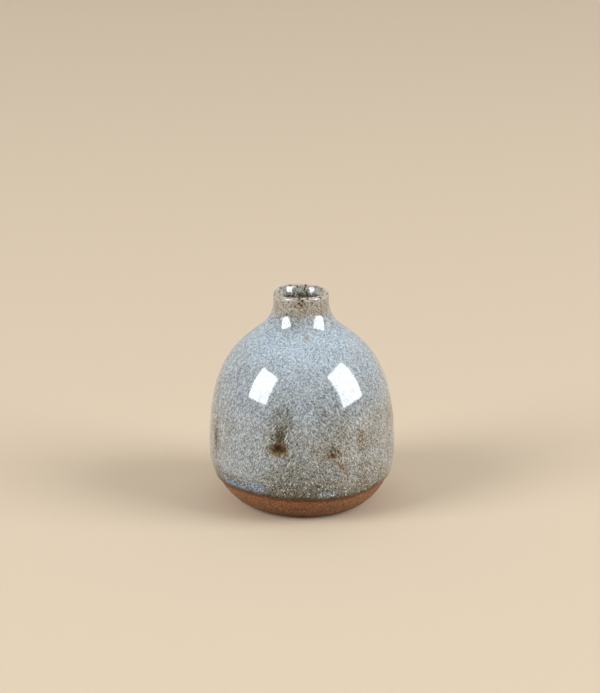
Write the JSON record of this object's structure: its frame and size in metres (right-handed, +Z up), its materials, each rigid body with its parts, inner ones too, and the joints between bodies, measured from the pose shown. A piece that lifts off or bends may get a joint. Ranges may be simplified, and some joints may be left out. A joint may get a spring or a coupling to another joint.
{
  "type": "bud vase",
  "caption": "Full-bellied stoneware bud vase with a narrow straight neck, a glossy mottled glaze over the outside and lip, a glazed lining and a bare turned foot. Holds a single stem.",
  "frame": {"origin": "centre of the foot ring, on the surface the vase stands on", "axes": "+Z up the axis of the thrown form, from the foot to the mouth; the pictured side faces -Y"},
  "size_m": [0.076, 0.076, 0.088],
  "materials": {
    "bare_clay": "unglazed red-brown stoneware",
    "outer_glaze": "glossy blue-grey mottled glaze",
    "lining_glaze": "glossy dark grey-brown lining glaze"
  },
  "bodies": {
    "root": {"clay_body": "bare_clay", "outer_glaze": "outer_glaze", "inner_glaze": "lining_glaze"}
  },
  "joints": []
}
